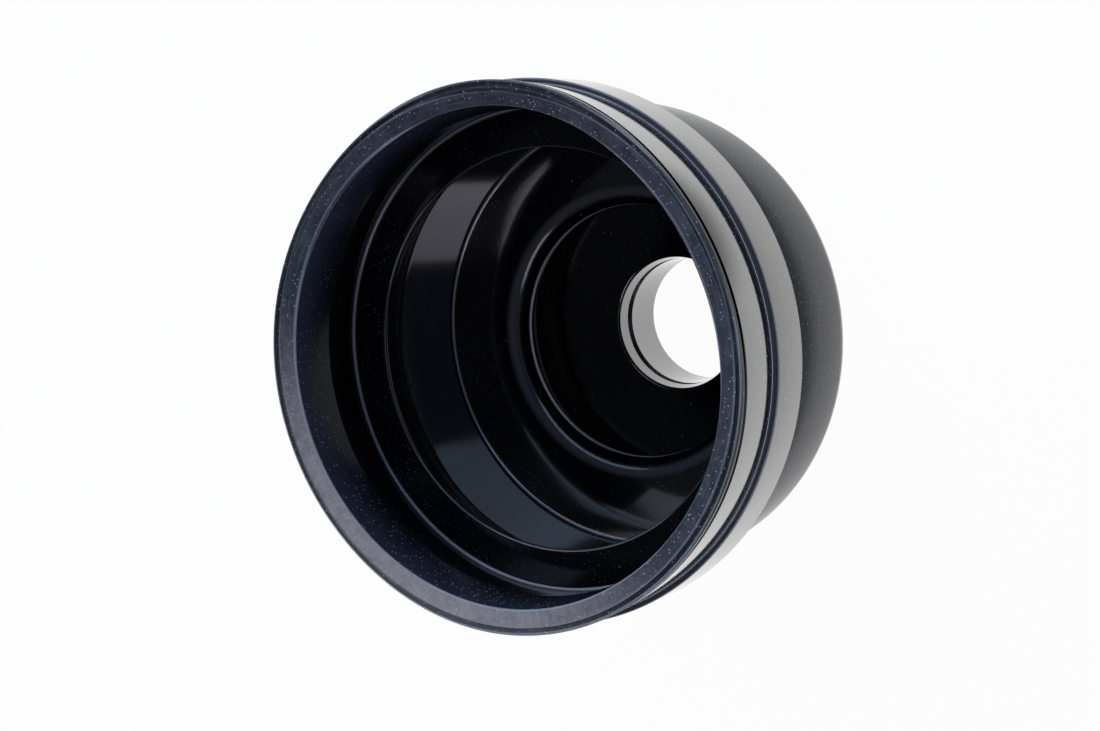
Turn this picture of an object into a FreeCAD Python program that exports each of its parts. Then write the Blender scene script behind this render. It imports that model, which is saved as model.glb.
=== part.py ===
"""Rubber bellows boot: one moulding with a thick mouth collar, a large dome, a fold,
a second smaller convolution and a narrow neck. All sizes are in millimetres.
The boot stands on the face of its small end, with its mouth up. The origin is the
centre of that face, and +Z runs along the axis towards the mouth.
"""
import FreeCAD, Part
import math
import os
import Sketcher
from FreeCAD import Vector

# Driving sizes: name, value, what it is.
SIZES = [
    ("mouth_radius", 40.0, "seat of the large end, on the joint housing"),
    ("seat_length", 9.3, "straight part of that seat"),
    ("relief_rise", 1.3, "the seat widens by this to the stop shoulder"),
    ("shoulder_depth", 18.1, "stop shoulder below the mouth's inner edge"),
    ("shoulder_round", 1.6, "hollow round between relief and shoulder"),
    ("mouth_round", 0.35, "edge of the mouth, inside"),
    ("lip_rise", 1.2, "the dished front face rises this far to the lip's outer corner"),
    ("lip_length", 1.1, "lip, from that corner to its groove"),
    ("lip_round", 0.3, "outer corner of the lip"),
    ("face_groove_inset", 0.45, "land between the lip's outside and the groove in its front face"),
    ("face_groove_width", 0.7, "shallow ring groove in the front face, beside that land"),
    ("face_groove_depth", 0.5, "floor of the face groove below the lip's outer corner"),
    ("lip_groove_width", 0.8, "thin groove between lip and clamp seat"),
    ("lip_groove_depth", 0.8, "depth of that groove below the clamp seat"),
    ("collar_wall", 4.05, "lip and large clamp seat, from the housing's seat to their outside"),
    ("clamp_seat_length", 9.5, "width of the large clamp seat"),
    ("rear_band_step", 1.05, "the rear band stands this far above the clamp seat"),
    ("rear_band_length", 8.65, "width of the rear band"),
    ("rear_band_draft", 0.35, "the band's radius grows by this to its back edge"),
    ("riser_round", 0.4, "hollow round between clamp seat and rear band"),
    ("band_round", 0.3, "edges of the rear band"),
    ("web_thickness", 2.8, "web between collar and dome, at its root"),
    ("web_round", 1.0, "hollow round outside, between web and dome"),
    ("throat_step", 5.5, "the throat is this much narrower than the seat"),
    ("throat_round", 1.3, "rounded inner edge at that place"),
    ("wall", 2.2, "sheet of the dome and of the folds"),
    ("dome_rise", 2.0, "outside of the dome at its widest, beyond the seat"),
    ("dome_drop", 25.9, "widest place of the dome below the stop shoulder"),
    ("dome_round", 6.0, "outer round between dome and its back flank"),
    ("fold_depth", 18.5, "fold behind the dome, from the dome's outside to its innermost place"),
    ("fold_round", 3.2, "round of that fold, on the inside"),
    ("crest_rise", 9.7, "outside of the second convolution, beyond the fold"),
    ("fold_clearance", 1.2, "height between the fold's round and the next crest's inner round"),
    ("crest_round", 5.8, "outer round of that crest"),
    ("crest_lift", 7.6, "that crest above the top of the lead-in"),
    ("neck_wall", 5.0, "neck, from the bore to its outside"),
    ("neck_round", 1.5, "hollow round between neck and second convolution"),
    ("bore_radius", 12.3, "bore of the small end, on the shaft"),
    ("bore_length", 10.3, "straight part of the bore"),
    ("bore_flare", 1.2, "round at the outer end of the bore"),
    ("ring_width", 1.8, "shallow ring groove at the inner end of the bore"),
    ("ring_depth", 0.5, "depth of the ring groove"),
    ("lead_in_rise", 0.45, "wide end of the steep lead-in, beyond the bore"),
    ("lead_in_length", 2.7, "height of the lead-in"),
    ("lead_in_round", 0.7, "edge between lead-in and second convolution"),
    ("tail_seat_step", 1.0, "depth of the small clamp seat below the neck's outside"),
    ("tail_seat_length", 8.0, "width of the small clamp seat"),
    ("tail_lip_length", 1.8, "end lip below the small clamp seat"),
    ("tail_round", 0.5, "edges beside the small clamp seat"),
]
# Sizes that follow from them: name, formula, what it is.
FOLLOWING = [
    ("relief_radius", "mouth_radius + relief_rise", "seat at the stop shoulder"),
    ("clamp_seat_radius", "mouth_radius + collar_wall", "outside of lip and large clamp seat"),
    ("rear_band_radius", "clamp_seat_radius + rear_band_step", "rear band at its front"),
    ("throat_radius", "mouth_radius - throat_step", "narrowest place between seat and dome"),
    ("dome_radius", "mouth_radius + dome_rise", "outside of the dome at its widest"),
    ("fold_radius", "dome_radius - fold_depth", "innermost place of the fold"),
    ("crest_radius", "fold_radius + crest_rise", "outside of the second convolution"),
    ("neck_radius", "bore_radius + neck_wall", "outside of the neck"),
    ("tail_seat_radius", "neck_radius - tail_seat_step", "small clamp seat on the neck"),
    ("lead_in_radius", "bore_radius + lead_in_rise", "wide end of the lead-in"),
    ("lead_in_height", "bore_length + ring_width + lead_in_length", "top of the lead-in"),
    ("crest_height", "lead_in_height + crest_lift", "crest of the second convolution"),
    ("inner_crest_round", "crest_round - wall", "inner round of the second convolution"),
    ("inner_dome_round", "dome_round - wall", "inner round between dome and back flank"),
    ("fold_height", "crest_height + inner_crest_round + fold_clearance + fold_round",
     "centre of the fold's round"),
    ("dome_height", "fold_height + fold_round + inner_dome_round", "widest place of the dome"),
    ("shoulder_height", "dome_height + dome_drop", "stop shoulder"),
    ("mouth_height", "shoulder_height + shoulder_depth", "inner edge of the mouth"),
]
TOLERANCE = 0.02


def size(formula):
    """The value of a sum of named sizes, and the same sum as the sheet's formula."""
    total, sign, linked = 0.0, 1, []
    for term in formula.split():
        if term in "+-":
            sign = 1 if term == "+" else -1
            linked.append(term)
        else:
            total += sign * VALUE[term]
            linked.append(f"Sizes.{term}")
    return total, " ".join(linked)


VALUE = {name: value for name, value, _ in SIZES}
for name, formula, _ in FOLLOWING:
    VALUE[name] = size(formula)[0]


def make_sheet(doc):
    """Write the sizes into a spreadsheet, one row each, the following ones as formulas."""
    sheet = doc.addObject("Spreadsheet::Sheet", "Sizes")
    rows = [(name, str(value), note) for name, value, note in SIZES]
    rows += [(name, f"={formula}", note) for name, formula, note in FOLLOWING]
    for row, (name, content, note) in enumerate(rows, start=1):
        sheet.set(f"A{row}", name)
        sheet.set(f"B{row}", content)
        sheet.set(f"C{row}", note)
        sheet.setAlias(f"B{row}", name)
    doc.recompute()
    return sheet


def section_plane(body):
    """The body's own vertical plane through its axis."""
    for feature in body.Origin.OriginFeatures:
        if feature.Role == "XZ_Plane":
            return feature
    raise RuntimeError("the body has no XZ plane")


def new_sketch(body, name):
    sketch = body.newObject("Sketcher::SketchObject", name)
    sketch.AttachmentSupport = [(section_plane(body), "")]
    sketch.MapMode = "FlatFace"
    return sketch


class Outline:
    """A closed loop of lines and arcs, drawn in order and tied to the sheet.

    Each piece is kept as (geometry number, first end, last end), with the ends in the
    order in which the loop runs through them.
    """

    def __init__(self, sketch):
        self.sketch = sketch
        self.pieces = {}
        self.order = []

    def line(self, name, first, last):
        number = self.sketch.addGeometry(Part.LineSegment(Vector(*first, 0), Vector(*last, 0)))
        self.keep(name, (number, 1, 2))

    def arc(self, name, centre, radius, first, last):
        """An arc between two angles in degrees, run through from first to last."""
        circle = Part.Circle(Vector(*centre, 0), Vector(0, 0, 1), radius)
        low, high = sorted((math.radians(first), math.radians(last)))
        number = self.sketch.addGeometry(Part.ArcOfCircle(circle, low, high))
        self.keep(name, (number, 1, 2) if first < last else (number, 2, 1))

    def keep(self, name, piece):
        self.pieces[name] = piece
        self.order.append(name)

    def close(self, smooth):
        """Join each piece to the next, tangent where the pair is in smooth."""
        for name, after in zip(self.order, self.order[1:] + self.order[:1]):
            number, _, last = self.pieces[name]
            follower, first, _ = self.pieces[after]
            kind = "Tangent" if (name, after) in smooth else "Coincident"
            self.sketch.addConstraint(Sketcher.Constraint(kind, number, last, follower, first))

    def rule(self, kind, *names):
        numbers = [self.pieces[name][0] for name in names]
        self.sketch.addConstraint(Sketcher.Constraint(kind, *numbers))

    def bind(self, label, constraint, formula):
        index = self.sketch.addConstraint(constraint)
        self.sketch.renameConstraint(index, label)
        self.sketch.setExpression(f"Constraints.{label}", formula)

    def radius(self, name, value, formula):
        number = self.pieces[name][0]
        self.bind(f"{name}_arc", Sketcher.Constraint("Radius", number, value), formula)

    def place(self, name, end, across=None, up=None):
        """Set how far an end (0 first, 1 last) or a centre (2) lies from the origin."""
        number, first, last = self.pieces[name]
        point = (first, last, 3)[end]
        for kind, target in (("DistanceX", across), ("DistanceY", up)):
            if target is not None:
                value, formula = target
                label = f"{name}_{kind[-1].lower()}{end}"
                self.bind(label, Sketcher.Constraint(kind, number, point, value), formula)

    def share_centre(self, name, other):
        pair = (self.pieces[name][0], 3, self.pieces[other][0], 3)
        self.sketch.addConstraint(Sketcher.Constraint("Coincident", *pair))

    def level_centres(self, name, other):
        pair = (self.pieces[name][0], 3, self.pieces[other][0], 3)
        self.sketch.addConstraint(Sketcher.Constraint("Horizontal", *pair))


def polar(centre, radius, angle):
    turn = math.radians(angle)
    return centre[0] + radius * math.cos(turn), centre[1] + radius * math.sin(turn)


def crossing_angle(centre, radius, other, other_radius):
    """Direction from the first circle's centre to the line that touches both circles,
    crossing between them, and leaves the first on its clockwise side."""
    gap = math.dist(centre, other)
    heading = math.degrees(math.atan2(other[1] - centre[1], other[0] - centre[0]))
    return heading - math.degrees(math.acos((radius + other_radius) / gap))


def boot_shape():
    """Centres, radii and angles from which the section's first drawing is made."""
    v = VALUE
    shoulder = v["shoulder_height"]
    dome = (v["dome_radius"] - v["dome_round"], v["dome_height"])
    throat = (v["throat_radius"] + v["throat_round"], shoulder - v["throat_round"])
    fold = (v["fold_radius"] + v["fold_round"], v["fold_height"])
    crest = (v["crest_radius"] - v["crest_round"], v["crest_height"])
    # The dome's long arc touches the rounded throat and the dome's own round at its widest.
    across = v["dome_radius"] - v["wall"] - throat[0]
    rise = throat[1] - dome[1]
    reach = (rise ** 2 + across ** 2 - v["throat_round"] ** 2) / (2 * (across + v["throat_round"]))
    arch = (v["dome_radius"] - v["wall"] - reach, dome[1])
    arch_angle = math.degrees(math.atan2(rise, throat[0] - arch[0]))
    flank_angle = crossing_angle(fold, v["fold_round"], crest, v["inner_crest_round"])
    lead_in = (v["lead_in_radius"], v["lead_in_height"])
    gap = math.dist(lead_in, crest)
    heading = math.degrees(math.atan2(crest[1] - lead_in[1], crest[0] - lead_in[0]))
    back_angle = heading - math.degrees(math.asin(v["inner_crest_round"] / gap)) - 90
    return {
        "shoulder": shoulder, "dome": dome, "throat": throat, "fold": fold, "crest": crest,
        "arch": arch, "reach": reach, "arch_angle": arch_angle, "lead_in": lead_in,
        "flank_angle": flank_angle, "back_angle": back_angle,
    }


def corner_spots(shape):
    """Where the web meets the dome, and where the neck meets the second convolution."""
    v = VALUE
    web_height = shape["shoulder"] - v["web_thickness"]
    outer = shape["reach"] + v["wall"]
    web_radius = shape["arch"][0] + math.sqrt(outer ** 2 - (web_height - shape["arch"][1]) ** 2)
    touch = polar(shape["crest"], v["crest_round"], shape["back_angle"])
    slope = math.tan(math.radians(shape["back_angle"] + 90))
    root_height = touch[1] - (touch[0] - v["neck_radius"]) * slope
    return (web_radius, web_height), (v["neck_radius"], root_height)


def draw_section(sketch):
    """The boot's half section: up the outside, over the lip, and down the inside."""
    v = VALUE
    shape = boot_shape()
    web, root = corner_spots(shape)
    dome, throat, fold = shape["dome"], shape["throat"], shape["fold"]
    crest, arch, reach = shape["crest"], shape["arch"], shape["reach"]
    flank, back = shape["flank_angle"], shape["back_angle"]
    inner_crest = v["inner_crest_round"]
    outer_fold = v["fold_round"] - v["wall"]
    inner_dome = v["inner_dome_round"]
    straight = 180.0
    quarter = 90.0

    tail_low, _ = size("tail_lip_length")
    tail_high, _ = size("tail_lip_length + tail_seat_length")
    lip_top, lip_top_sum = size("mouth_height + lip_rise")
    riser = lip_top - v["lip_length"] - v["lip_groove_width"] - v["clamp_seat_length"]
    riser_sum = (lip_top_sum + " - Sizes.lip_length - Sizes.lip_groove_width"
                 " - Sizes.clamp_seat_length")
    band_end = riser - v["rear_band_length"]
    band_end_sum = riser_sum + " - Sizes.rear_band_length"
    band_back = v["rear_band_radius"] + v["rear_band_draft"]
    seat_end, seat_end_sum = size("mouth_height - seat_length")
    bore_top = v["bore_length"] + v["ring_width"]

    draw = Outline(sketch)
    # Small end: face, end lip, clamp seat and neck.
    draw.line("end_face", (v["bore_radius"], 0), (v["neck_radius"], 0))
    draw.line("tail_lip", (v["neck_radius"], 0), (v["neck_radius"], tail_low))
    draw.line("tail_step", (v["neck_radius"], tail_low), (v["tail_seat_radius"], tail_low))
    draw.line("tail_seat", (v["tail_seat_radius"], tail_low), (v["tail_seat_radius"], tail_high))
    draw.line("neck_step", (v["tail_seat_radius"], tail_high), (v["neck_radius"], tail_high))
    draw.line("neck", (v["neck_radius"], tail_high), root)
    # Outside of the second convolution, the fold and the dome.
    draw.line("back_out", root, polar(crest, v["crest_round"], back))
    draw.arc("crest_out", crest, v["crest_round"], back, flank + straight)
    draw.line("flank_out", polar(crest, v["crest_round"], flank + straight),
              polar(fold, outer_fold, flank))
    draw.arc("fold_out", fold, outer_fold, flank + 2 * straight, quarter)
    draw.line("ledge_out", polar(fold, outer_fold, quarter), polar(dome, v["dome_round"], -quarter))
    draw.arc("round_out", dome, v["dome_round"], -quarter, 0)
    web_angle = math.degrees(math.asin((web[1] - arch[1]) / (reach + v["wall"])))
    draw.arc("dome_out", arch, reach + v["wall"], 0, web_angle)
    # Collar: web, rear band, clamp seat and lip.
    draw.line("web", web, (band_back, band_end))
    draw.line("rear_band", (band_back, band_end), (v["rear_band_radius"], riser))
    draw.line("riser", (v["rear_band_radius"], riser), (v["clamp_seat_radius"], riser))
    draw.line("clamp_seat", (v["clamp_seat_radius"], riser), (v["clamp_seat_radius"], lip_top))
    draw.line("front_face", (v["clamp_seat_radius"], lip_top),
              (v["mouth_radius"], v["mouth_height"]))
    # Inside: seat, relief, stop shoulder and throat.
    draw.line("seat", (v["mouth_radius"], v["mouth_height"]), (v["mouth_radius"], seat_end))
    draw.line("relief", (v["mouth_radius"], seat_end), (v["relief_radius"], shape["shoulder"]))
    draw.line("shoulder", (v["relief_radius"], shape["shoulder"]), (throat[0], shape["shoulder"]))
    draw.arc("throat", throat, v["throat_round"], quarter, straight + shape["arch_angle"])
    # Inside of the dome, the fold and the second convolution.
    draw.arc("dome_in", arch, reach, shape["arch_angle"], 0)
    draw.arc("round_in", dome, inner_dome, 0, -quarter)
    draw.line("ledge_in", polar(dome, inner_dome, -quarter), polar(fold, v["fold_round"], quarter))
    draw.arc("fold_in", fold, v["fold_round"], quarter, flank + 2 * straight)
    draw.line("flank_in", polar(fold, v["fold_round"], flank),
              polar(crest, inner_crest, flank + straight))
    draw.arc("crest_in", crest, inner_crest, flank + straight, back)
    draw.line("back_in", polar(crest, inner_crest, back), shape["lead_in"])
    draw.line("lead_in", shape["lead_in"], (v["bore_radius"], bore_top))
    draw.line("bore", (v["bore_radius"], bore_top), (v["bore_radius"], 0))

    draw.close(smooth={
        ("back_out", "crest_out"), ("crest_out", "flank_out"), ("flank_out", "fold_out"),
        ("fold_out", "ledge_out"), ("ledge_out", "round_out"), ("round_out", "dome_out"),
        ("shoulder", "throat"), ("throat", "dome_in"), ("dome_in", "round_in"),
        ("round_in", "ledge_in"), ("ledge_in", "fold_in"), ("fold_in", "flank_in"),
        ("flank_in", "crest_in"), ("crest_in", "back_in"),
    })

    for name in ("tail_lip", "tail_seat", "neck", "clamp_seat", "seat", "bore"):
        draw.rule("Vertical", name)
    for name in ("end_face", "tail_step", "neck_step", "riser", "shoulder", "ledge_in"):
        draw.rule("Horizontal", name)
    draw.rule("Parallel", "back_in", "back_out")
    draw.share_centre("fold_out", "fold_in")
    draw.share_centre("crest_out", "crest_in")
    draw.share_centre("round_out", "round_in")
    draw.share_centre("dome_out", "dome_in")
    draw.level_centres("dome_in", "round_in")

    draw.place("end_face", 0, up=(0.0, "0"), across=size("bore_radius"))
    draw.place("end_face", 1, across=size("neck_radius"))
    draw.place("tail_seat", 0, across=size("tail_seat_radius"), up=size("tail_lip_length"))
    draw.place("tail_seat", 1, up=size("tail_lip_length + tail_seat_length"))
    draw.place("neck", 0, across=size("neck_radius"))
    draw.place("crest_in", 2, across=size("crest_radius - crest_round"),
               up=size("crest_height"))
    draw.place("fold_in", 2, across=size("fold_radius + fold_round"))
    draw.place("round_in", 2, across=size("dome_radius - dome_round"),
               up=size("dome_height"))
    draw.place("throat", 2, across=size("throat_radius + throat_round"))
    draw.place("web", 0, up=size("shoulder_height - web_thickness"))
    draw.place("web", 1, across=size("rear_band_radius + rear_band_draft"),
               up=(band_end, band_end_sum))
    draw.place("riser", 0, across=size("rear_band_radius"), up=(riser, riser_sum))
    draw.place("clamp_seat", 1, across=size("clamp_seat_radius"),
               up=size("mouth_height + lip_rise"))
    draw.place("seat", 0, across=size("mouth_radius"), up=size("mouth_height"))
    draw.place("seat", 1, up=(seat_end, seat_end_sum))
    draw.place("shoulder", 0, across=size("relief_radius"), up=size("shoulder_height"))
    draw.place("lead_in", 0, across=size("lead_in_radius"), up=size("lead_in_height"))
    draw.place("bore", 0, up=size("bore_length + ring_width"))

    draw.radius("crest_out", *size("crest_round"))
    draw.radius("crest_in", *size("inner_crest_round"))
    draw.radius("fold_out", *size("fold_round - wall"))
    draw.radius("fold_in", *size("fold_round"))
    draw.radius("round_out", *size("dome_round"))
    draw.radius("round_in", *size("inner_dome_round"))
    draw.radius("throat", *size("throat_round"))
    return {"web": web, "root": root, "riser": riser, "band_end": band_end,
            "band_back": band_back, "lead_in": shape["lead_in"], "lip_top": lip_top,
            "shoulder": shape["shoulder"], "tail_low": tail_low, "tail_high": tail_high}


def draw_notch(sketch, inner, outer, low, high):
    """A rectangle in the section, each side given as a value and its formula."""
    draw = Outline(sketch)
    draw.line("floor", (inner[0], low[0]), (outer[0], low[0]))
    draw.line("outside", (outer[0], low[0]), (outer[0], high[0]))
    draw.line("roof", (outer[0], high[0]), (inner[0], high[0]))
    draw.line("inside", (inner[0], high[0]), (inner[0], low[0]))
    draw.close(smooth=set())
    draw.rule("Horizontal", "floor")
    draw.rule("Horizontal", "roof")
    draw.rule("Vertical", "outside")
    draw.rule("Vertical", "inside")
    draw.place("floor", 0, across=inner, up=low)
    draw.place("roof", 0, across=outer, up=high)


def turn_around_axis(body, kind, name, sketch):
    """Revolution or Groove of a sketch through a full turn about the sketch's upright axis."""
    feature = body.newObject(kind, name)
    feature.Profile = sketch
    feature.ReferenceAxis = (sketch, ["V_Axis"])
    feature.Angle = 360.0
    return feature


def ring_edge(feature, radius, height):
    """Name of the feature's circular edge about the axis at this radius and height."""
    for index, edge in enumerate(feature.Shape.Edges, start=1):
        curve = edge.Curve
        if not isinstance(curve, Part.Circle):
            continue
        on_axis = math.hypot(curve.Center.x, curve.Center.y) < TOLERANCE
        if on_axis and abs(curve.Radius - radius) < TOLERANCE \
                and abs(curve.Center.z - height) < TOLERANCE:
            return f"Edge{index}"
    raise RuntimeError(f"no edge at radius {radius}, height {height}")


def round_edges(doc, body, name, alias, spots):
    """Fillet the circular edges at these (radius, height) spots."""
    base = body.Tip
    fillet = body.newObject("PartDesign::Fillet", name)
    fillet.Base = (base, [ring_edge(base, *spot) for spot in spots])
    fillet.Radius = VALUE[alias]
    fillet.setExpression("Radius", f"Sizes.{alias}")
    doc.recompute()
    return fillet


def make_boot(doc):
    v = VALUE
    body = doc.addObject("PartDesign::Body", "BellowsBoot")
    body.Label = "bellows_boot"

    section = new_sketch(body, "BootSection")
    spots = draw_section(section)
    turn_around_axis(body, "PartDesign::Revolution", "BootMoulding", section)
    doc.recompute()
    volumes = [body.Shape.Volume]

    # The thin groove that parts the lip from the clamp seat.
    groove = new_sketch(body, "LipGrooveSection")
    low, low_sum = spots["riser"] + v["clamp_seat_length"], (
        "Sizes.mouth_height + Sizes.lip_rise - Sizes.lip_length - Sizes.lip_groove_width")
    high, high_sum = size("mouth_height + lip_rise - lip_length")
    draw_notch(groove, inner=size("clamp_seat_radius - lip_groove_depth"),
               outer=size("clamp_seat_radius + lip_groove_depth"),
               low=(low, low_sum), high=(high, high_sum))
    turn_around_axis(body, "PartDesign::Groove", "LipGroove", groove)
    doc.recompute()
    volumes.append(body.Shape.Volume)

    # The shallow ring groove in the front face, just inside the lip's outer corner.
    face = new_sketch(body, "FaceGrooveSection")
    draw_notch(face, inner=size("clamp_seat_radius - face_groove_inset - face_groove_width"),
               outer=size("clamp_seat_radius - face_groove_inset"),
               low=size("mouth_height + lip_rise - face_groove_depth"),
               high=size("mouth_height + lip_rise + face_groove_depth"))
    turn_around_axis(body, "PartDesign::Groove", "FaceGroove", face)
    doc.recompute()
    volumes.append(body.Shape.Volume)

    # The shallow ring groove at the inner end of the bore.
    ring = new_sketch(body, "BoreRingSection")
    draw_notch(ring, inner=size("bore_radius - ring_depth"),
               outer=size("bore_radius + ring_depth"),
               low=size("bore_length"), high=size("bore_length + ring_width"))
    turn_around_axis(body, "PartDesign::Groove", "BoreRing", ring)
    doc.recompute()
    volumes.append(body.Shape.Volume)
    if any(after >= before for before, after in zip(volumes, volumes[1:])):
        raise RuntimeError(f"a groove cut nothing: {volumes}")

    round_edges(doc, body, "ShoulderRound", "shoulder_round",
                [(v["relief_radius"], spots["shoulder"])])
    round_edges(doc, body, "LipRound", "lip_round", [(v["clamp_seat_radius"], spots["lip_top"])])
    round_edges(doc, body, "MouthRound", "mouth_round", [(v["mouth_radius"], v["mouth_height"])])
    round_edges(doc, body, "RiserRound", "riser_round", [(v["clamp_seat_radius"], spots["riser"])])
    round_edges(doc, body, "BandRound", "band_round",
                [(v["rear_band_radius"], spots["riser"]), (spots["band_back"], spots["band_end"])])
    round_edges(doc, body, "WebRound", "web_round", [spots["web"]])
    round_edges(doc, body, "NeckRound", "neck_round", [spots["root"]])
    round_edges(doc, body, "LeadInRound", "lead_in_round", [spots["lead_in"]])
    round_edges(doc, body, "BoreFlare", "bore_flare", [(v["bore_radius"], 0.0)])
    round_edges(doc, body, "TailRound", "tail_round",
                [(v["neck_radius"], 0.0), (v["neck_radius"], spots["tail_low"]),
                 (v["neck_radius"], spots["tail_high"])])
    return body


def check(doc, bodies):
    for item in doc.Objects:
        if "Invalid" in item.State or "Error" in item.State:
            raise RuntimeError(f"{item.Label} failed: {item.State}")
    for body in bodies:
        if body.Shape.isNull() or not body.Shape.isValid() or len(body.Shape.Solids) != 1:
            raise RuntimeError(f"{body.Label} has no single valid solid")


doc = FreeCAD.newDocument("BellowsBootModel")
make_sheet(doc)
boot = make_boot(doc)
doc.recompute()
check(doc, [boot])

os.makedirs("parts", exist_ok=True)
boot.Shape.exportStep(os.path.join("parts", boot.Label + ".step"))
box = boot.Shape.BoundBox
print(f"{boot.Label}: {boot.Shape.Volume / 1000:.2f} cm3, "
      f"{box.XLength:.2f} x {box.YLength:.2f} x {box.ZLength:.2f} mm")
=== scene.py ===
# %% [markdown]
# # A rubber bellows boot
# This lesson dresses one moulded rubber boot: the cover that keeps grease in, and dirt out of,
# a driven joint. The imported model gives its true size. The work here is a finer skin for it,
# the camera, the light, and a rubber that looks used. The first cell loads the model.

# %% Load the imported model
import math

import bpy
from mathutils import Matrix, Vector


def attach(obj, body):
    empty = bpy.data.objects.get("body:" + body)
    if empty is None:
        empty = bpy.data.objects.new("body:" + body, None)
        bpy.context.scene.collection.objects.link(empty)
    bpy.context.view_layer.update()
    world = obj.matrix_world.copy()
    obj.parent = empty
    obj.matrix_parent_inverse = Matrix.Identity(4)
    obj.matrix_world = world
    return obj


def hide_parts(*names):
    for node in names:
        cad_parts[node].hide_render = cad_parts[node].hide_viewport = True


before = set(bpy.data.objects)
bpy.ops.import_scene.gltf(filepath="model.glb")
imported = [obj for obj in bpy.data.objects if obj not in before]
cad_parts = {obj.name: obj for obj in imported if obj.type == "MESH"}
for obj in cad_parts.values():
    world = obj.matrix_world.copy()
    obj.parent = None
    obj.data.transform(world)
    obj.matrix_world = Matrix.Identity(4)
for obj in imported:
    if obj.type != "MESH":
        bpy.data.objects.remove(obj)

MM = 0.001
scene = bpy.context.scene
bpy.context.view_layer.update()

# %% [markdown]
# ## Camera
# The photograph looks down into the mouth from one side, rolled so that the boot seems to lie
# over. The mouth, the rings inside it and the bore are all circles round one axis, and the way
# in which they shift and flatten gives the lens and the place of the camera.

# %% Camera
PHOTO_WIDTH = 1100                             # pixels
FOCAL_LENGTH = 1690.3                          # in pixels of the photograph
SENSOR = 36.0                                  # mm
CAMERA_PLACE = Vector((0.0, -149.29, 306.43))  # mm
CAMERA_TURNS = (-7.9986, 30.7065, -104.4591)   # degrees about X, Y and Z
camera_data = bpy.data.cameras.new("camera")
camera_data.sensor_width = SENSOR
camera_data.lens = FOCAL_LENGTH * SENSOR / PHOTO_WIDTH
camera_data.clip_start = 10 * MM
camera = bpy.data.objects.new("camera", camera_data)
camera.location = CAMERA_PLACE * MM
camera.rotation_euler = [math.radians(turn) for turn in CAMERA_TURNS]
scene.collection.objects.link(camera)
scene.camera = camera
scene.view_settings.view_transform = "Standard"
print("lens", round(camera_data.lens, 1), "mm, from", round(CAMERA_PLACE.length), "mm away")

# %% [markdown]
# ## Section
# A boot like this is pressed between turned steel moulds, so its shape is one section spun
# round the axis. It could be subdivided from a few rings, but a polished mould leaves sharp
# little edges beside long curves, so the section is drawn as a draughtsman would: corners
# joined by straight lines, each corner with its own rounding. The list goes once round the
# wall, up the outside from the small end and back down the inside. Inside the dome the wall is
# plain and stands on a ledge that slopes a little: the two act as a corner mirror.

# %% Section: corners as distance from the axis, height and rounding, in mm
NECK = (
    (12.3, 0.0, 1.2),           # flare of the bore
    (17.3, 0.0, 0.5),           # end lip
    (17.3, 1.8, 0.5),
    (16.3, 1.8, 0.0),           # small clamp seat
    (16.3, 9.8, 0.0),
    (17.3, 9.8, 0.5),           # neck
    (17.3, 13.73, 1.5))
FOLDS_OUTSIDE = (
    (43.507, 20.662, 5.8),      # crest of the small fold: its rounding keeps it well inside this corner
    (22.557, 31.4, 1.0),        # notch between the folds
    (42.0, 31.4, 6.0),          # dome, round at its back
    (42.0, 49.4, 60.6),         # dome, the long curve to the collar
    (37.43, 60.5, 1.0))         # where the dome runs under the collar
COLLAR = (
    (45.45, 62.55, 0.3),        # rear band, back edge
    (45.1, 71.2, 0.3),          # rear band, front edge
    (44.05, 71.2, 0.4),         # foot of the riser
    (44.05, 80.7, 0.05),        # front edge of the large clamp seat
    (43.25, 80.7, 0.05),        # groove under the lip
    (43.25, 81.5, 0.05),
    (44.05, 81.5, 0.12))
FACE = (
    (44.05, 82.6, 0.3),         # outer corner of the lip
    (43.6, 82.467, 0.08),       # trough in the face
    (43.6, 82.1, 0.08),
    (42.9, 82.1, 0.08),
    (42.9, 82.259, 0.08),
    (40.0, 81.4, 0.35))         # edge of the mouth
SEAT = (
    (40.0, 72.1, 0.3),          # end of the straight seat, where it begins to widen
    (41.3, 63.3, 0.7),          # shoulder that stops the housing
    (33.786, 63.3, 0.6))        # throat
FOLDS_INSIDE = (
    (39.2, 52.5, 8.0),          # top of the plain wall
    (39.2, 34.259, 0.8),        # foot of the wall, on the ledge
    (14.663, 32.974, 3.2),      # nose of the ledge
    (37.397, 21.321, 3.6))      # hollow of the small fold
BORE = (
    (12.75, 14.8, 0.7),         # lead-in
    (12.3, 12.1, 0.05),         # ring groove
    (12.8, 12.1, 0.05),
    (12.8, 10.3, 0.05),
    (12.3, 10.3, 0.05))
CORNERS = NECK + FOLDS_OUTSIDE + COLLAR + FACE + SEAT + FOLDS_INSIDE + BORE
print("section has", len(CORNERS), "corners")

# %% [markdown]
# A rounding touches both of its straight lines, so its centre lies square to the end of the
# line that arrives. Each point on it is kept with the way the surface faces there. The outside
# of the rubber is on the right of the way travelled.

# %% Section: round the corners
STEP = math.radians(8)       # one facet of a rounded corner
LONG_CURVE = 20.0            # mm: a rounding larger than this has steps of its own
LONG_CURVE_STEPS = 23


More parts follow.
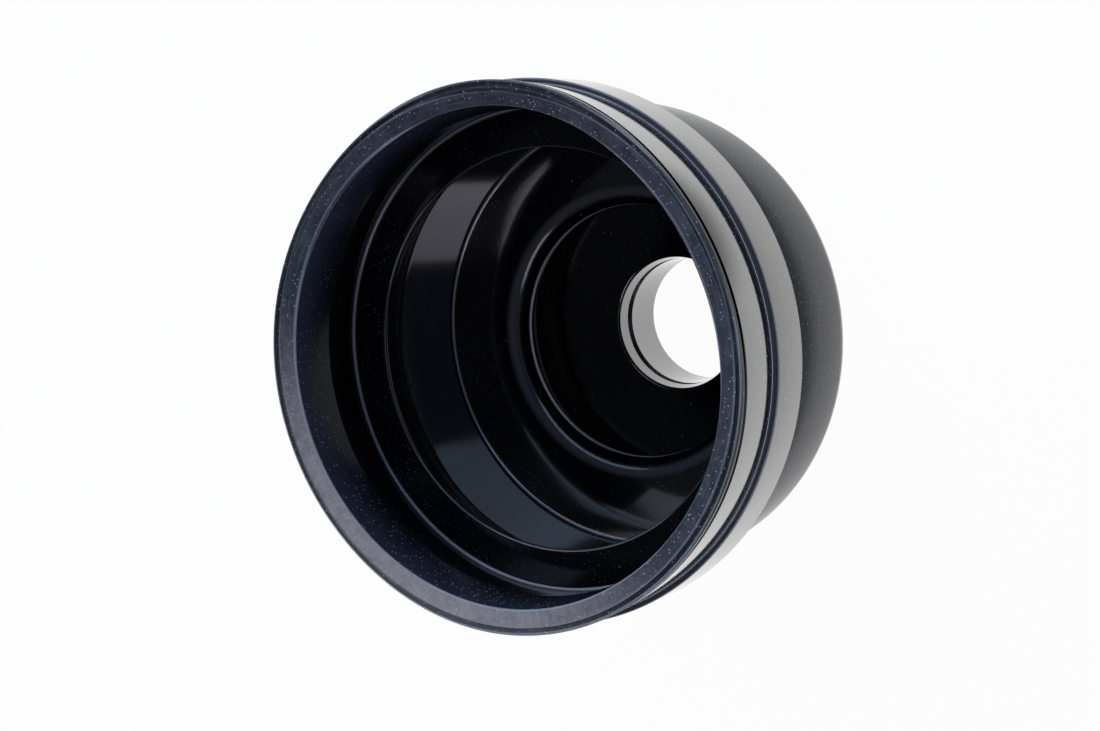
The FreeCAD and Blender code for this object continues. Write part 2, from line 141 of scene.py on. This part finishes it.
def rounded(corners):
    """The section's points, each with the way the surface faces there."""
    line = []
    for number, corner in enumerate(corners):
        here = Vector(corner[:2])
        rounding = corner[2]
        arrive = (here - Vector(corners[number - 1][:2])).normalized()
        leave = (Vector(corners[(number + 1) % len(corners)][:2]) - here).normalized()
        turn = math.atan2(arrive.x * leave.y - arrive.y * leave.x, arrive.dot(leave))
        side = math.copysign(rounding, turn)
        touch = here - arrive * rounding * math.tan(abs(turn) / 2)
        centre = touch + Vector((-arrive.y, arrive.x)) * side
        steps = LONG_CURVE_STEPS if rounding > LONG_CURVE else max(1, math.ceil(abs(turn) / STEP))
        for step in range(steps + 1):
            heading = math.atan2(arrive.y, arrive.x) + turn * step / steps
            facing = Vector((math.sin(heading), -math.cos(heading)))
            line.append((centre + facing * side, facing))
    return line


section = rounded(CORNERS)
print("section has", len(section), "points")

# %% [markdown]
# ## Skin
# The section is spun round the axis. Every point gets the exact way the surface faces, so the
# fine edges shine in one clean line. Rubber this soft doesn't stay quite round: the mouth has
# crept a few tenths of a millimetre out of true, less and less down to the riser. The creep is
# a sum of waves round the mouth, like the modes of a ringing bell.

# %% Skin: spin the section
SEGMENTS = 180
CREEP_WAVES = (                          # lobes, how far in mm, and bearing of a lobe in degrees
    (1, 0.175, -81.45),
    (2, 0.193, -2.83),
    (3, 0.280, -18.79),
    (4, 0.224, -17.81))
CREEP_STARTS, CREEP_FULL = 66.0, 80.0    # heights in mm
points, facings, faces = [], [], []
for segment in range(SEGMENTS):
    angle = math.tau * segment / SEGMENTS
    creep = sum(wave * math.cos(lobes * (angle - math.radians(bearing)))
                for lobes, wave, bearing in CREEP_WAVES)
    for (distance, level), (out, up) in section:
        share = min(max((level - CREEP_STARTS) / (CREEP_FULL - CREEP_STARTS), 0.0), 1.0)
        eased = share * share * (3 - 2 * share)
        reach = distance + creep * eased
        points.append((reach * math.cos(angle) * MM, reach * math.sin(angle) * MM, level * MM))
        facings.append((out * math.cos(angle), out * math.sin(angle), up))
for segment in range(SEGMENTS):
    this = segment * len(section)
    following = (segment + 1) % SEGMENTS * len(section)
    for row in range(len(section)):
        above = (row + 1) % len(section)
        faces.append((this + row, following + row, following + above, this + above))
print("skin has", len(points), "points and", 2 * len(faces), "triangles")

# %% [markdown]
# The skin stands in for the imported model's coarser one, which is hidden, and hangs on the root body.

# %% Skin: make the mesh
mesh = bpy.data.meshes.new("bellows_skin")
mesh.from_pydata(points, [], faces)
mesh.polygons.foreach_set("use_smooth", [True] * len(faces))
mesh.normals_split_custom_set_from_vertices(facings)
boot = bpy.data.objects.new("bellows_skin", mesh)
scene.collection.objects.link(boot)
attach(boot, "root")
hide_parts("bellows_boot")
print("skin measures", [round(side / MM, 2) for side in boot.dimensions], "mm")

# %% [markdown]
# ## Helpers
# Colours are read as sRGB hex, as a paint card gives them, and turned to the linear values
# that the shaders use. One function adds a node, sets it and links it.

# %% Helpers
def linear(hex_colour):
    """Linear RGBA of an sRGB colour such as '#8090a0'."""
    levels = [int(hex_colour[i:i + 2], 16) / 255 for i in (1, 3, 5)]
    return [c / 12.92 if c <= 0.04045 else ((c + 0.055) / 1.055) ** 2.4 for c in levels] + [1.0]


def put(tree, kind, sockets=None, **settings):
    """Add a node. Each socket takes a value, or another node's output to link to."""
    node = tree.nodes.new(kind)
    for name, value in settings.items():
        setattr(node, name, value)
    for socket, value in (sockets or {}).items():
        if isinstance(value, bpy.types.NodeSocket):
            tree.links.new(value, node.inputs[socket])
        else:
            node.inputs[socket].default_value = value
    return node


def new_material(name):
    material = bpy.data.materials.new(name)
    material.use_nodes = True
    material.node_tree.nodes.clear()
    return material


print("mid grey is", round(linear("#808080")[0], 3), "in linear light")

# %% [markdown]
# ## Rubber
# The boot is one moulding of black synthetic rubber. Three things change its look from place
# to place. The inside, which only grease has touched, is smooth and blue-black. The collar's
# outside bands and the bore were pressed against polished steel in the mould and wear a film of
# silicone dressing, so they mirror pale surroundings. The front face and the folds outside have
# been handled: fine grey dust, short scratches, and grit the colour of sand.
# A place is known by its distance from the axis and its height, both in millimetres, and by
# the way it faces, so each mark below has its real place and size.

# %% Rubber: where a point is
rubber = new_material("moulded_rubber")
tree = rubber.node_tree
spot = put(tree, "ShaderNodeTexCoord").outputs["Object"]
metric = put(tree, "ShaderNodeVectorMath", {0: spot, "Scale": 1 / MM}, operation="SCALE").outputs[0]
parts = put(tree, "ShaderNodeSeparateXYZ", {0: metric})
height = parts.outputs["Z"]
flat = put(tree, "ShaderNodeVectorMath", {0: metric, 1: (1.0, 1.0, 0.0)},
           operation="MULTIPLY").outputs[0]
radius = put(tree, "ShaderNodeVectorMath", {0: flat}, operation="LENGTH").outputs["Value"]
across = put(tree, "ShaderNodeCombineXYZ", {"X": radius, "Z": height}).outputs[0]
print("places are measured by", len(tree.nodes), "nodes")

# %% [markdown]
# Two numbers tell how a point faces: outward is 1 on the outside of a cylinder and -1 in its
# bore, and upward is 1 on a level floor. Dust lies on one side of the boot.

# %% Rubber: how a point faces
DUSTY_BEARING = (-0.75, 0.66, 0.0)
bearing = put(tree, "ShaderNodeVectorMath", {0: flat}, operation="NORMALIZE").outputs[0]
facing = put(tree, "ShaderNodeNewGeometry").outputs["Normal"]
outward = put(tree, "ShaderNodeVectorMath", {0: bearing, 1: facing},
              operation="DOT_PRODUCT").outputs["Value"]
upward = put(tree, "ShaderNodeSeparateXYZ", {0: facing}).outputs["Z"]
dusty = put(tree, "ShaderNodeVectorMath", {0: bearing, 1: DUSTY_BEARING},
            operation="DOT_PRODUCT").outputs["Value"]
print("the dusty side is at bearing",
      round(math.degrees(math.atan2(DUSTY_BEARING[1], DUSTY_BEARING[0]))), "degrees")

# %% [markdown]
# A finish could be painted on its own faces, but these have soft ends, so each is a mask. A
# mask rises from 0 to 1 between two values of what it measures, and falls where the first
# value is the larger. Heights and radii are in mm.

# %% Rubber: masks
mask = {}
for name, measured, none_at, full_at in (
        ("outside", outward, -0.05, 0.15),
        ("inside", outward, 0.15, 0.05),
        ("faces out", outward, 0.5, 0.8),
        ("faces in", outward, -0.3, -0.6),
        ("faces up", upward, 0.6, 0.85),
        ("dusty side", dusty, 0.2, 1.1),
        ("at the mouth", height, 81.2, 81.4),
        ("off the hole", radius, 39.7, 40.0),
        ("in the trough", height, 82.25, 82.15),
        ("trough starts", radius, 42.8, 42.95),
        ("trough ends", radius, 43.65, 43.55),
        ("near the mouth", height, 68.0, 82.0),
        ("under the groove", height, 80.95, 80.75),
        ("above the rear band", height, 70.9, 71.1),
        ("below the clamp seat", height, 71.5, 71.3),
        ("over the collar's back", height, 62.2, 62.6),
        ("below the collar", height, 62.6, 62.2),
        ("wide", radius, 43.6, 43.9),
        ("below the seat", height, 62.9, 62.4),
        ("on the ledge or over it", height, 33.0, 33.4),
        ("off the nose", radius, 26.0, 28.0),
        ("narrow", radius, 13.4, 12.9),
        ("low", height, 15.2, 14.6)):
    mask[name] = put(tree, "ShaderNodeMapRange", {"Value": measured, "From Min": none_at,
                                                  "From Max": full_at},
                     interpolation_type="SMOOTHSTEP").outputs["Result"]
print("masks:", len(mask))

# %% [markdown]
# A finish lies where all of its masks are 1, so it is their product.

# %% Rubber: where each finish lies
for name, bounds in (
        ("face", ("at the mouth", "faces up", "off the hole")),
        # painted shade: the trough of the face is darkened in the colour below
        ("trough", ("face", "in the trough", "trough starts", "trough ends")),
        ("riser", ("above the rear band", "below the clamp seat", "faces up")),
        ("bands", ("faces out", "over the collar's back", "wide", "under the groove")),
        ("bore", ("narrow", "low")),
        ("wall and ledge", ("inside", "below the seat", "on the ledge or over it", "off the nose")),
        ("folds", ("outside", "below the collar")),
        ("seat", ("faces in", "near the mouth"))):
    mask[name] = mask[bounds[0]]
    for bound in bounds[1:]:
        mask[name] = put(tree, "ShaderNodeMath", {0: mask[name], 1: mask[bound]},
                         operation="MULTIPLY").outputs[0]
print("masks with the finishes:", len(mask))

# %% [markdown]
# The dressing's film is full on the outside bands and in the bore. On the plain wall and the
# ledge inside, grease leaves about a third of that shine.

# %% Rubber: how much film each finish wears
FILM_SHARES = {"bands": 1.0, "bore": 1.0, "wall and ledge": 0.35}
polished = 0.0
for name, weight in FILM_SHARES.items():
    weighted = put(tree, "ShaderNodeMath", {0: mask[name], 1: weight}, operation="MULTIPLY").outputs[0]
    polished = put(tree, "ShaderNodeMath", {0: weighted, 1: polished}, operation="MAXIMUM").outputs[0]
print("film:", FILM_SHARES)

# %% [markdown]
# The marks come from noise. Dust gathers in clouds a few millimetres wide, mottled at about a
# millimetre. The fine noise, 0.3 mm, is the grain that the mould left. It is really finer, but
# would be lost between the picture's pixels.

# %% Rubber: clouds, mottle and grain
for name, pitch, detail, coarseness in (
        ("cloud", 4.5, 5.0, 0.6),
        ("mottle", 1.1, 4.0, 0.65),
        ("fine", 0.3, 4.0, 0.7)):
    mask[name] = put(tree, "ShaderNodeTexNoise", {"Vector": metric, "Scale": 1 / pitch, "Detail": detail,
                                                  "Roughness": coarseness}).outputs["Fac"]
    print(name, "has a pitch of", pitch, "mm")

# %% [markdown]
# Scratches run round the boot, as a hand or a rag turns it. They are noise that is stretched
# along the ring: five to the millimetre across it, and only six to the radian along it.

# %% Rubber: scratches
SCRATCHES_PER_MM, SCRATCHES_PER_RADIAN = 5.0, 6.0
turn = put(tree, "ShaderNodeMath", {0: parts.outputs["Y"], 1: parts.outputs["X"]},
           operation="ARCTAN2").outputs[0]
spun = put(tree, "ShaderNodeCombineXYZ", {"X": turn, "Y": radius, "Z": height}).outputs[0]
spun = put(tree, "ShaderNodeVectorMath", {
    0: spun, 1: (SCRATCHES_PER_RADIAN, SCRATCHES_PER_MM, SCRATCHES_PER_MM)},
    operation="MULTIPLY").outputs[0]
streaks = put(tree, "ShaderNodeTexNoise", {"Vector": spun, "Scale": 1.0, "Detail": 3.0,
                                           "Roughness": 0.55}).outputs["Fac"]
for name, source, none_at, full_at in (
        ("scratches", streaks, 0.58, 0.66),
        ("patches", mask["cloud"], 0.38, 0.68),
        ("dusting", mask["mottle"], 0.35, 0.65)):
    mask[name] = put(tree, "ShaderNodeMapRange", {"Value": source, "From Min": none_at,
                                                  "From Max": full_at}).outputs["Result"]
print("a scratch is", round(1 / SCRATCHES_PER_MM, 1), "mm wide")

# %% [markdown]
# Lint, grit and crumbs are single grains. Each is the middle of a cell in a scatter of points,
# and only some of the cells hold one. A grain fades out between half of its reach and the
# whole. They are drawn 0.2 to 0.5 mm across, a little over the real ones, so that they show.

# %% Rubber: grains
for name, spacing, reach, kept in (
        ("lint", 0.6, 0.13, 0.55),
        ("grit", 0.8, 0.18, 0.5),
        ("crumbs", 3.2, 0.24, 0.35)):
    cells = put(tree, "ShaderNodeTexVoronoi", {"Vector": metric, "Scale": 1 / spacing})
    chance = put(tree, "ShaderNodeSeparateColor", {0: cells.outputs["Color"]}).outputs["Red"]
    near = put(tree, "ShaderNodeMapRange", {
        "Value": cells.outputs["Distance"], "From Min": reach / spacing,
        "From Max": 0.5 * reach / spacing}).outputs["Result"]
    there = put(tree, "ShaderNodeMath", {0: chance, 1: kept}, operation="LESS_THAN").outputs[0]
    mask[name] = put(tree, "ShaderNodeMath", {0: near, 1: there}, operation="MULTIPLY").outputs[0]
    print(name, "up to", 2 * reach, "mm across, in", round(100 * kept), "of 100 cells")

# %% [markdown]
# Edges get light lines. The outer ones are partly rubbed grey and partly a painted highlight along the
# rounding;
# the inner ones are painted highlights, blue-grey lines where their fillets would shine. Each is a ring,
# so the distance from that ring in the section gives a soft line.

# %% Rubber: edges as radius and height, line width in mm, and strength
mask["rubbed_and_painted_highlight"] = mask["painted_highlight_line"] = 0.0
for edge, ring, width, strength in (
        # outer edges: partly rubbed wear, partly a painted highlight along the rounding
        ("rubbed_and_painted_highlight", (40.1, 0, 81.35), 0.35, 1.0),       # edge of the mouth
        ("rubbed_and_painted_highlight", (42.8, 0, 82.2), 0.25, 0.6),        # inner edge of the trough
        ("rubbed_and_painted_highlight", (43.9, 0, 82.5), 0.35, 0.9),        # outer corner of the lip
        ("rubbed_and_painted_highlight", (44.05, 0, 80.65), 0.20, 0.6),      # front edge of the large clamp seat
        ("rubbed_and_painted_highlight", (45.1, 0, 71.15), 0.20, 0.5),       # front edge of the rear band
        ("rubbed_and_painted_highlight", (45.4, 0, 62.6), 0.40, 1.0),        # back edge of the rear band
        # painted highlights: blue-grey lines on the inner edges, where their fillets would shine
        ("painted_highlight_line", (41.15, 0, 63.4), 0.50, 0.5),      # shoulder
        ("painted_highlight_line", (34.0, 0, 63.3), 0.45, 0.6),       # throat
        ("painted_highlight_line", (39.1, 0, 34.3), 0.40, 0.9),       # foot of the plain wall
        ("painted_highlight_line", (26.0, 0, 33.4), 1.40, 0.15),      # where the ledge turns to its nose
        ("painted_highlight_line", (23.5, 0, 30.6), 0.60, 1.0)):      # nose of the ledge
    gap = put(tree, "ShaderNodeVectorMath", {0: across, 1: ring}, operation="DISTANCE").outputs["Value"]
    line = put(tree, "ShaderNodeMapRange", {"Value": gap, "From Min": width, "From Max": 0.3 * width,
                                            "To Max": strength}).outputs["Result"]
    mask[edge] = put(tree, "ShaderNodeMath", {0: mask[edge], 1: line}, operation="MAXIMUM").outputs[0]
print("masks with the marks:", len(mask))

# %% [markdown]
# Now the rubber itself. Carbon black makes it nearly black all through. The coats go on one over another:
# dirt, and with it painted shade in the trough of the face and painted highlights along the edges. Each
# line below has a strength, the masks that bound it, and a colour.

# %% Rubber: colour
CARBON_BLACK = "#090a0f"
colour = linear(CARBON_BLACK)
for strength, where, shade in (
        (1.0, ("folds",), "#141722"),
        (1.0, ("seat",), "#2c3341"),
        (1.0, ("face",), "#2c3039"),
        (1.0, ("riser",), "#4a4e57"),
        (0.75, ("face", "dusty side"), "#b9b7b4"),
        (0.65, ("face", "dusty side", "dusting"), "#d6cdbf"),
        (0.20, ("face", "dusting"), "#7d828d"),
        (0.30, ("face", "patches"), "#6a6e78"),
        # painted shade in the trough of the face
        (0.6, ("trough",), "#14161c"),
        # light lines on the edges: painted highlights inside; outside, partly rubbed wear and partly
        # painted highlight
        (0.8, ("rubbed_and_painted_highlight",), "#a0a4ac"),
        (0.9, ("painted_highlight_line",), "#ccd2dc"),
        (0.2, ("face", "scratches"), "#a4a7ae"),
        (0.12, ("folds", "scratches"), "#8c8f96"),
        (1.0, ("face", "lint"), "#dfe2e6"),
        (0.35, ("folds", "lint"), "#c6c8cc"),
        (0.6, ("bands", "lint"), "#e6e6e4"),
        (1.0, ("seat", "dusty side", "lint"), "#d4d8e0"),
        (0.6, ("inside", "lint", "patches"), "#9aa0ac"),
        (1.0, ("face", "grit", "dusty side"), "#d0b990"),
        (0.3, ("folds", "grit"), "#9a8a70"),
        (0.6, ("crumbs",), "#9c998f")):
    amount = strength
    for place in where:
        amount = put(tree, "ShaderNodeMath", {0: mask[place], 1: amount}, operation="MULTIPLY").outputs[0]
    colour = put(tree, "ShaderNodeMix", {0: amount, 6: colour, 7: linear(shade)},
                 data_type="RGBA").outputs[2]
print("colour is mixed by", sum(node.bl_idname == "ShaderNodeMix" for node in tree.nodes), "coats")

# %% [markdown]
# The moulded skin is glossy. Dust takes the gloss off the face, and handling a little off the
# folds. The relief is hundredths of a millimetre: just enough to trouble a reflection.

# %% Rubber: gloss and relief
GLOSSIEST, DULLEST = 0.08, 0.16          # roughness of rubber from a polished mould
RELIEF = 0.02                            # mm, for a mark whose part is 1
RELIEF_PARTS = {"fine": 0.35, "cloud": 0.65, "grit": 0.8, "lint": 0.5}
rough = put(tree, "ShaderNodeMapRange", {"Value": mask["fine"], "To Min": GLOSSIEST,
                                         "To Max": DULLEST}).outputs["Result"]
for place, more in (("face", 0.22), ("folds", 0.02)):
    rough = put(tree, "ShaderNodeMath", {0: mask[place], 1: more, 2: rough},
                operation="MULTIPLY_ADD").outputs[0]
relief = 0.0
for mark, part in RELIEF_PARTS.items():
    relief = put(tree, "ShaderNodeMath", {0: mask[mark], 1: part, 2: relief},
                 operation="MULTIPLY_ADD").outputs[0]
bump = put(tree, "ShaderNodeBump", {"Height": relief, "Distance": RELIEF * MM, "Strength": 0.35})
print("relief in mm:", {mark: round(part * RELIEF, 3) for mark, part in RELIEF_PARTS.items()})

# %% [markdown]
# The film is a coat over the rubber, worn thin in mottles and gone along the outer edge lines, which are
# partly rubbed and partly painted highlight. A clear dressing has an IOR of about 1.4. The real bands
# look paler than that can make them, since dried dressing also scatters light, so the coat's IOR is
# matched to them instead.

# %% Rubber: film and surface
RUBBER_IOR, FILM_IOR = 1.5, 2.7
FILM_ROUGHNESS = 0.07
whole = put(tree, "ShaderNodeMath", {0: 1.0, 1: mask["rubbed_and_painted_highlight"]}, operation="SUBTRACT").outputs[0]
worn = put(tree, "ShaderNodeMapRange", {"Value": mask["mottle"], "To Min": 1.06,
                                        "To Max": 0.90}).outputs["Result"]
film = whole
for part in (polished, worn):
    film = put(tree, "ShaderNodeMath", {0: film, 1: part}, operation="MULTIPLY",
               use_clamp=True).outputs[0]
surface = put(tree, "ShaderNodeBsdfPrincipled", {
    "Base Color": colour, "Roughness": rough, "IOR": RUBBER_IOR, "Normal": bump.outputs[0],
    "Coat Weight": film, "Coat IOR": FILM_IOR, "Coat Roughness": FILM_ROUGHNESS})
put(tree, "ShaderNodeOutputMaterial", {"Surface": surface.outputs["BSDF"]})
boot.data.materials.append(rubber)
print("rubber has", len(tree.nodes), "nodes")

# %% [markdown]
# ## Floor
# A plain pale floor. It is white to the camera, also through the bore, and the small part of it
# that is paint keeps the boot's soft shadow. In reflections it is white only near the boot, as
# in a small light tent: the bands mirror that near part. Farther out it falls to about a
# third, and the edge of the dome, which mirrors it there, stays dark against the background.

# %% Floor
FLOOR_SIDE = 40.0                        # m, so that its edge is never seen
FLOOR_DROP = 0.05                        # mm under the boot, so that the two don't flicker
GLOW_SHARE = 0.97
BRIGHT_WITHIN, DIM_BEYOND = 74.0, 94.0   # mm from the axis
DIM_LEVEL = 0.35
bpy.ops.mesh.primitive_plane_add(size=FLOOR_SIDE, location=(0, 0, -FLOOR_DROP * MM))
floor = bpy.context.object
floor.name = "floor"
floor_paint = new_material("pale_floor")
tree = floor_paint.node_tree
path = put(tree, "ShaderNodeLightPath")
seen = put(tree, "ShaderNodeMath", {0: path.outputs["Is Camera Ray"], 1: path.outputs["Is Glossy Ray"]},
           operation="ADD")
seen = put(tree, "ShaderNodeMath", {0: seen.outputs[0], 1: path.outputs["Is Transmission Ray"]},
           operation="ADD", use_clamp=True)
glowing = put(tree, "ShaderNodeMath", {0: seen.outputs[0], 1: GLOW_SHARE}, operation="MULTIPLY")
spot = put(tree, "ShaderNodeTexCoord").outputs["Object"]
away = put(tree, "ShaderNodeVectorMath", {0: spot}, operation="LENGTH").outputs["Value"]
level = put(tree, "ShaderNodeMapRange", {
    "Value": away, "From Min": DIM_BEYOND * MM, "From Max": BRIGHT_WITHIN * MM, "To Min": DIM_LEVEL},
    interpolation_type="SMOOTHSTEP").outputs["Result"]
lit = put(tree, "ShaderNodeMath", {0: path.outputs["Is Camera Ray"], 1: level},
          operation="MAXIMUM").outputs[0]
paint = put(tree, "ShaderNodeBsdfDiffuse", {"Color": linear("#f4f4f4")})
glow = put(tree, "ShaderNodeEmission", {"Color": linear("#ffffff"), "Strength": lit})
mixed = put(tree, "ShaderNodeMixShader", {
    "Fac": glowing.outputs[0], 1: paint.outputs[0], 2: glow.outputs[0]})
put(tree, "ShaderNodeOutputMaterial", {"Surface": mixed.outputs[0]})
floor.data.materials.append(floor_paint)
print("floor lies", FLOOR_DROP, "mm under the boot and is", FLOOR_SIDE, "m wide")

# %% [markdown]
# ## Light
# Glossy black rubber shows its surroundings more than itself, so the studio matters. The inside
# is dark because the ceiling is dark. The walls are pale near the floor and fade out above.

# %% Light: walls and ceiling
WALL_LEVEL, CEILING_LEVEL = 2.6, 0.05
WALL_ENDS, CEILING_STARTS = 0.12, 0.28   # sines of the angle above the floor
world = bpy.data.worlds.new("studio")
world.use_nodes = True
scene.world = world
tree = world.node_tree
tree.nodes.clear()
where = put(tree, "ShaderNodeTexCoord")
rise = put(tree, "ShaderNodeSeparateXYZ", {0: where.outputs["Generated"]})
wall_light = put(tree, "ShaderNodeMapRange", {
    "Value": rise.outputs["Z"], "From Min": WALL_ENDS, "From Max": CEILING_STARTS,
    "To Min": WALL_LEVEL, "To Max": CEILING_LEVEL})
sky = put(tree, "ShaderNodeBackground", {"Color": linear("#e6edff"),
                                         "Strength": wall_light.outputs["Result"]})
put(tree, "ShaderNodeOutputWorld", {"Surface": sky.outputs[0]})
print("walls fade out from", round(math.degrees(math.asin(WALL_ENDS))), "to",
      round(math.degrees(math.asin(CEILING_STARTS))), "degrees above the floor")

# %% [markdown]
# Four soft boxes hang over the boot. The wall and the ledge inside mirror them one after the
# other, so a lamp shows where both bounces meet it. The left box makes the pale patch inside,
# and the right box the blue-grey crescent under it. A faint blue box fills the wall between the
# two. The side box stands low and lights the dusty face and the edges.

# %% Light: soft boxes
MIDDLE = Vector((0.0, 0.0, 0.04))        # m, about the middle of the boot
DISTANCE = 1.2                           # m from there to each lamp


def soft_box(name, lean, bearing, width, length, brightness, shade):
    """A rectangular lamp that faces the boot. It hangs lean degrees off the vertical, towards
    a bearing from +X, and is width degrees wide and length degrees long, as the boot sees it.
    Brightness is that of its face, where 1 looks pure white, and shade is its colour."""
    tilt, turn = math.radians(lean), math.radians(bearing)
    way = Vector((math.sin(tilt) * math.cos(turn), math.sin(tilt) * math.sin(turn), math.cos(tilt)))
    data = bpy.data.lights.new(name, "AREA")
    data.shape = "RECTANGLE"
    data.color = linear(shade)[:3]
    data.size = 2 * DISTANCE * math.tan(math.radians(width / 2))
    data.size_y = 2 * DISTANCE * math.tan(math.radians(length / 2))
    data.energy = brightness * math.pi * data.size * data.size_y
    lamp = bpy.data.objects.new(name, data)
    lamp.location = MIDDLE + DISTANCE * way
    lamp.rotation_euler = way.to_track_quat("Z", "Y").to_euler()
    scene.collection.objects.link(lamp)
    print(name, "is", round(data.size, 2), "by", round(data.size_y, 2), "m")


soft_box("left_box", lean=37, bearing=192, width=27, length=13, brightness=3.5, shade="#f0edff")
soft_box("right_box", lean=37, bearing=350, width=60, length=13, brightness=2.2, shade="#c4dcff")
soft_box("blue_box", lean=36, bearing=262, width=75, length=15, brightness=0.3, shade="#a9b4f0")
soft_box("side_box", lean=60, bearing=25, width=60, length=22, brightness=3.0, shade="#dde6ff")
